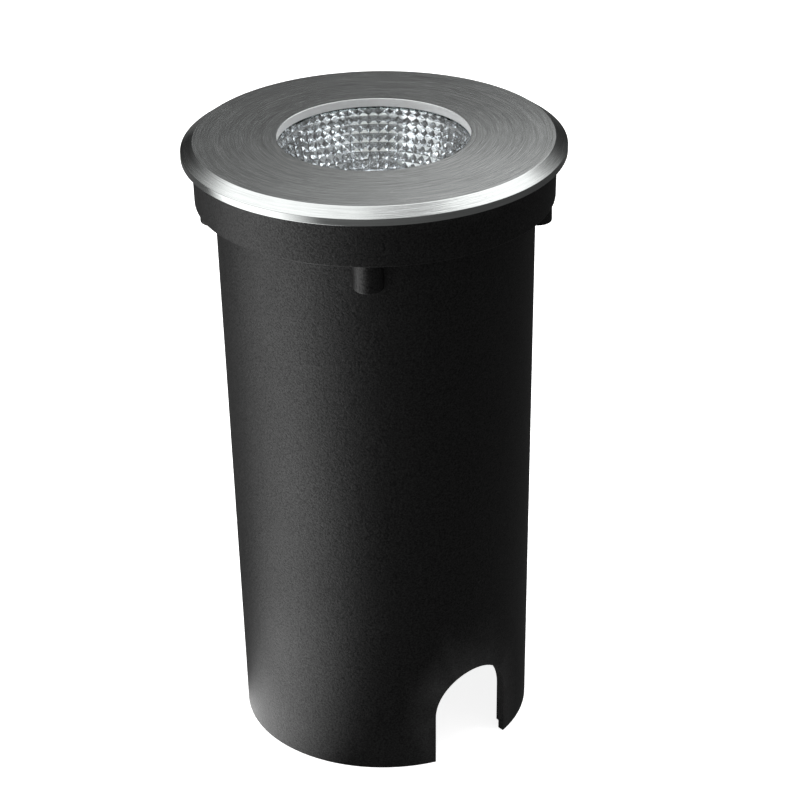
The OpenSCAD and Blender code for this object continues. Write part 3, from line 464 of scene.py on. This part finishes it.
def slot_materials():
    """One material for each of the record's material slots."""
    return {
        "pot_plastic": pot_plastic(),
        "stainless": brushed_cover(),
        "cast_aluminium": metal("cast_aluminium", (0.5, 0.51, 0.52), 0.45, 700.0, 0.35),
        "reflector_chrome": chrome_studs(),
        "clear_glass": clear_glass(),
        "seal_rubber": plastic("seal_rubber", (0.02, 0.02, 0.02), 0.62, 1200.0, 0.2, 0.1),
        "brass": metal("brass", (0.66, 0.48, 0.2), 0.3, 1400.0, 0.12),
        "screw_steel": metal("screw_steel", (0.58, 0.585, 0.59), 0.28, 1400.0, 0.12),
        "bracket_steel": metal("bracket_steel", (0.6, 0.61, 0.62), 0.36, 500.0, 0.15, (1.0, 1.0, 0.08)),
        "board_white": plastic("board_white", (0.76, 0.765, 0.76), 0.3, 2200.0, 0.05),
        "led_yellow": phosphor(),
        "white_plastic": plastic("white_plastic", (0.76, 0.765, 0.765), 0.42),
        "thermal_pad": plastic("thermal_pad_grey", (0.42, 0.44, 0.52), 0.6),
        "driver_plastic": plastic("driver_plastic", (0.72, 0.72, 0.7), 0.45),
        "terminal_plastic": plastic("terminal_plastic", (0.74, 0.74, 0.68), 0.35),
        "gland_plastic": plastic("gland_plastic", (0.02, 0.02, 0.02), 0.42),
        "lead_red": plastic("lead_red", (0.5, 0.02, 0.015), 0.35),
        "lead_black": plastic("lead_black", (0.02, 0.02, 0.02), 0.35),
        "lead_brown": plastic("lead_brown", (0.16, 0.07, 0.03), 0.35),
        "lead_blue": plastic("lead_blue", (0.03, 0.09, 0.4), 0.35),
    }


# --- pieces -----------------------------------------------------------------

def make_cover(material, wall_material):
    """The turned cover with its blends in full."""
    flat = (COVER_FLAT_R, COVER_TOP - COVER_CROWN)
    low = (COVER_R, COVER_EDGE_TOP)
    foot = (COVER_R, COVER_EDGE_LOW)
    rim = (COVER_RIM_IN_R, COVER_EDGE_LOW)
    top_in = (APERTURE_R, COVER_TOP)
    lip_in = (APERTURE_R, LIP_Z)
    lip_out = (LIP_R, LIP_Z)
    profile = rounded(lip_in, top_in, flat, SMALL_BREAK, BREAK_STEPS)
    profile += rounded(top_in, flat, low, COVER_BLEND, BLEND_STEPS)
    profile += rounded(flat, low, foot, SMALL_BREAK, BREAK_STEPS)
    profile += rounded(low, foot, rim, SMALL_BREAK, BREAK_STEPS)
    profile += [rim, (COVER_RIM_IN_R, COVER_UNDER), (LIP_R, COVER_UNDER), lip_out]
    profile += rounded(lip_out, lip_in, top_in, SMALL_BREAK, BREAK_STEPS)
    cover = lathe("cover_turned", profile, COVER_SEGMENTS, COVER_SHARP)
    cover.data.materials.append(material)
    cover.data.materials.append(wall_material)
    for face in cover.data.polygons:
        r = math.hypot(face.center.x, face.center.y)
        if r < (APERTURE_R + SMALL_BREAK / 4) * MM:
            face.material_index = 1
    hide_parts("cover_ring")
    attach(cover, "cover")


def bowl_profile(row):
    """Radius and height of the bowl at a row, counted from the mouth."""
    floor_r = MOUTH_R - TAPER
    if row <= SIDE_ROWS:
        share = (row / SIDE_ROWS) ** SIDE_GROWTH
        return Vector((MOUTH_R - TAPER * share, MOUTH_Z - SIDE_H * share))
    a = math.pi / 2 * ((row - SIDE_ROWS) / FLOOR_ROWS) ** FLOOR_GROWTH
    floor_h = BOWL_H - SIDE_H - BOWL_WALL
    return Vector((EXIT_R + (floor_r - EXIT_R) * math.cos(a), MOUTH_Z - SIDE_H - floor_h * math.sin(a)))


def bowl_normal(row):
    """Direction into the bowl at a row."""
    after = bowl_profile(min(row + ROW_STEP, SIDE_ROWS + FLOOR_ROWS))
    run = after - bowl_profile(max(row - ROW_STEP, 0))
    return Vector((run.y, -run.x)).normalized()


def stud_height(column, row):
    """Height over the bowl: every cell of the grid is a blunt pyramid."""
    u = abs(column % 1.0 - 0.5) * 2
    v = abs(row % 1.0 - 0.5) * 2
    return STUD_RISE * (1.0 - max(u, v) ** STUD_CURVE)


def turned(r, z, angle):
    return (r * MM * math.cos(angle), r * MM * math.sin(angle), z * MM)


def bowl_back():
    """Points (r, z) of the reflector's outside, from the mouth over the flange down to the exit."""
    seat = MOUTH_Z - FLANGE_T
    points = [
        (MOUTH_R + MOUTH_ROLL, MOUTH_Z), (FLANGE_R, MOUTH_Z), (FLANGE_R, seat), (MOUTH_R + BOWL_WALL, seat)]
    for row in range(1, SIDE_ROWS + FLOOR_ROWS + 1):
        points.append(tuple(bowl_profile(row) - BOWL_WALL * bowl_normal(row)))
    return points


def make_reflector(material):
    """A bowl tiled with rows and columns of studs, with its flange and its plain outside."""
    cell = 2 * STUD_SPLITS
    across = STUD_COLUMNS * cell
    down = (SIDE_ROWS + FLOOR_ROWS) * cell
    verts = []
    for k in range(down + 1):
        row = k / cell
        base, normal = bowl_profile(row), bowl_normal(row)
        for j in range(across):
            column = j / cell
            r, z = base + stud_height(column, row) * normal
            verts.append(turned(r, z, 2 * math.pi * column / STUD_COLUMNS))
    back = bowl_back()
    for r, z in back:
        for j in range(across):
            verts.append(turned(r, z, 2 * math.pi * j / across))
    faces = []
    for k in range(down):
        for j in range(across):
            a, b = k * across + j, k * across + (j + 1) % across
            c, d = b + across, a + across
            same = (j % cell < STUD_SPLITS) == (k % cell < STUD_SPLITS)
            faces += [(a, b, c), (a, c, d)] if same else [(a, b, d), (b, c, d)]
    first = (down + 1) * across
    low, exit_row = first + (len(back) - 1) * across, down * across
    for j in range(across):
        n = (j + 1) % across
        faces.append((j, first + j, first + n, n))
        faces.append((low + j, exit_row + j, exit_row + n, low + n))
        for k in range(first, low, across):
            faces.append((k + j, k + across + j, k + across + n, k + n))
    mesh = bpy.data.meshes.new("reflector_studded")
    mesh.from_pydata(verts, [], faces)
    fix_normals(mesh)
    smooth_by_angle(mesh, STUD_SHARP)
    mesh.materials.append(material)
    reflector = add_object("reflector_studded", mesh)
    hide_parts("reflector")
    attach(reflector, "lamp")


# --- studio -----------------------------------------------------------------

def make_camera():
    turn = Matrix.Rotation(VIEW_TURN, 3, "Z")
    forward = turn @ Vector(CAMERA_FORWARD).normalized()
    right = turn @ Vector((1, 0, 0))
    up = right.cross(forward)
    image_right = math.cos(CAMERA_ROLL) * right + math.sin(CAMERA_ROLL) * up
    image_up = -math.sin(CAMERA_ROLL) * right + math.cos(CAMERA_ROLL) * up
    data = bpy.data.cameras.new("camera")
    data.lens = CAMERA_LENS
    data.sensor_width = CAMERA_SENSOR
    data.clip_start = CAMERA_CLIP
    camera = add_object("camera", data)
    columns = Matrix((image_right, image_up, -forward)).transposed()
    camera.matrix_world = Matrix.Translation(turn @ Vector(CAMERA_AT)) @ columns.to_4x4()
    bpy.context.scene.camera = camera


def softbox(name, at, target, width, height, radiance):
    """A rectangular lamp whose power gives the stated radiance."""
    data = bpy.data.lights.new(name, "AREA")
    data.shape = "RECTANGLE"
    data.size = width
    data.size_y = height
    data.energy = radiance * math.pi * width * height
    lamp = add_object(name, data)
    turn = Matrix.Rotation(VIEW_TURN, 3, "Z")
    at = turn @ Vector(at)
    look = (turn @ Vector(target) - at).to_track_quat("-Z", "Y")
    lamp.matrix_world = Matrix.Translation(at) @ look.to_matrix().to_4x4()
    lamp.visible_camera = False
    lamp.visible_glossy = False


def sky_dome(n, x, y, z):
    """Radiance of the sky before its front goes dark."""
    rise = n.math("EXPONENT", n.plus(n.times(z, SKY_RISE), n.times(x, SKY_LEAN)))
    sky = n.math("MINIMUM", n.plus(n.times(rise, SKY_LOW), SKY_DIM), SKY_WHITE)
    aside = n.length(n.minus(x, ZENITH[0]), n.minus(y, ZENITH[1]))
    return n.times(sky, n.spread(aside, *ZENITH_REACH, ZENITH_SHARE, 1.0, True))


def sky_front(n, x, y):
    """From SKY_FRONT at the front to 1 at the back."""
    backward = n.minus(y, n.times(n.largest(x, 0.0), FRONT_SKEW))
    return n.spread(backward, n.spread(x, *FRONT_ACROSS, *FRONT_START), FRONT_END, SKY_FRONT, 1.0, True)


def sky_level(n, direction):
    """Radiance that a mirror sees in a direction above the floor."""
    x, y, z = n.split(direction)
    glow = n.times(n.within(x, *GLOW_ACROSS), n.rise(z, GLOW_UP), GLOW)
    sky = n.times(n.plus(sky_dome(n, x, y, z), glow), sky_front(n, x, y))
    key = n.times(n.within(x, *KEY_ACROSS), n.within(y, *KEY_ALONG), n.rise(z, KEY_UP), KEY)
    low = n.times(n.fall(y, ROUND_ALONG), n.within(z, *ROUND_UP), ROUND)
    panel = n.times(n.fall(z, PANEL_UP), n.within(y, *PANEL_ALONG), n.fall(x, PANEL_ACROSS), PANEL)
    return n.largest(sky, key, low, panel)


def make_world():
    """White for the eye. Mirrors see the sky with its lights, and matt faces a plain fill."""
    world = bpy.data.worlds.new("studio")
    bpy.context.scene.world = world
    world.use_nodes = True
    world.node_tree.nodes.clear()
    n = Tree(world.node_tree)
    level = sky_level(n, n.add("ShaderNodeTexCoord").outputs["Generated"])
    path = n.add("ShaderNodeLightPath")
    mirrored = n.largest(path.outputs["Is Glossy Ray"], path.outputs["Is Transmission Ray"])
    fill = n.largest(path.outputs["Is Camera Ray"], FILL)
    both = n.add("ShaderNodeMixShader", None, {
        0: mirrored,
        1: n.add("ShaderNodeBackground", None, {"Color": grey(1.0), "Strength": fill}).outputs[0],
        2: n.add("ShaderNodeBackground", None, {"Color": grey(1.0), "Strength": level}).outputs[0]})
    output = n.add("ShaderNodeOutputWorld")
    n.put(output.inputs["Surface"], both.outputs[0])


def painted_floor_reflection(n):
    """Painted reflection that a mirror sees on the floor: painted shade, but for a white painted card of
    light that lies at the left.
    """
    x, y, z = n.split(n.place())
    away = n.length(x, y)
    bearing = n.math("ARCTAN2", n.times(y, -1.0), n.times(x, -1.0))
    # painted card: a white patch of painted light, seen only in reflections
    painted_card = n.within(n.plus(bearing, n.spread(away, *PAINTED_CARD_TURN)), PAINTED_CARD_RISE, PAINTED_CARD_FALL)
    # painted shade: darker to the right and the back, and close to the object, a painted shadow and contact
    # shadow
    painted_shade = n.times(n.spread(x, *PAINTED_SHADE_ACROSS), n.spread(y, *PAINTED_SHADE_ALONG), n.spread(away, *PAINTED_SHADE_AWAY))
    return n.largest(n.times(painted_card, PAINTED_CARD), painted_shade)


def make_floor():
    """A pale floor: white to the eye, with the object's own shadow."""
    mesh = bpy.data.meshes.new("floor")
    half = FLOOR_HALF
    corners = [(-half, -half, 0), (half, -half, 0), (half, half, 0), (-half, half, 0)]
    mesh.from_pydata(corners, [], [(0, 1, 2, 3)])
    floor = add_object("floor", mesh)
    n = Nodes("floor_white", {})
    n.tree.nodes.remove(n.shader)
    diffuse = n.add("ShaderNodeBsdfDiffuse", None, {"Color": grey(FLOOR_GREY)})
    path = n.add("ShaderNodeLightPath")
    glow = n.add("ShaderNodeEmission", None, {
        "Color": grey(1.0), "Strength": n.times(path.outputs["Is Camera Ray"], FLOOR_GLOW)})
    seen = n.add("ShaderNodeAddShader", None, {0: diffuse.outputs[0], 1: glow.outputs[0]})
    # for mirrors the floor glows with its painted reflection: the painted card on the painted shade
    mirrored = n.add("ShaderNodeEmission", None, {"Color": grey(1.0), "Strength": painted_floor_reflection(n)})
    both = n.add("ShaderNodeMixShader", None, {
        0: path.outputs["Is Glossy Ray"], 1: seen.outputs[0], 2: mirrored.outputs[0]})
    n.put(n.output.inputs["Surface"], both.outputs[0])
    mesh.materials.append(n.material)


def make_studio():
    make_world()
    make_floor()
    for row in SOFTBOXES:
        softbox(*row)


# --- the whole --------------------------------------------------------------

def dress_cad_nodes(frame, materials):
    """Every carried-over CAD node gets its slot's material."""
    slots = {part["node"]: part["material_slot"] for part in frame["record"]["subparts"]}
    for name, obj in frame["nodes"].items():
        for slot in obj.material_slots:
            slot.material = materials[slots[name]]


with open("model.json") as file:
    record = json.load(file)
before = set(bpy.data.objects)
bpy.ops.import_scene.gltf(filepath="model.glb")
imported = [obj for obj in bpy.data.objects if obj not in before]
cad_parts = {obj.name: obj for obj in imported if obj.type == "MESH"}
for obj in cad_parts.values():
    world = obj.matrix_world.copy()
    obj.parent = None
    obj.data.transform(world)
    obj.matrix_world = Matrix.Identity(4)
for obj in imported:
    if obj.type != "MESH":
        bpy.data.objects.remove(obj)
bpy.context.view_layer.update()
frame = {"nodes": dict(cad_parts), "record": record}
bpy.context.scene.view_settings.view_transform = "Standard"
materials = slot_materials()
dress_cad_nodes(frame, materials)
make_cover(materials["stainless"], bored_wall_painted_light())
make_reflector(materials["reflector_chrome"])
make_studio()
make_camera()
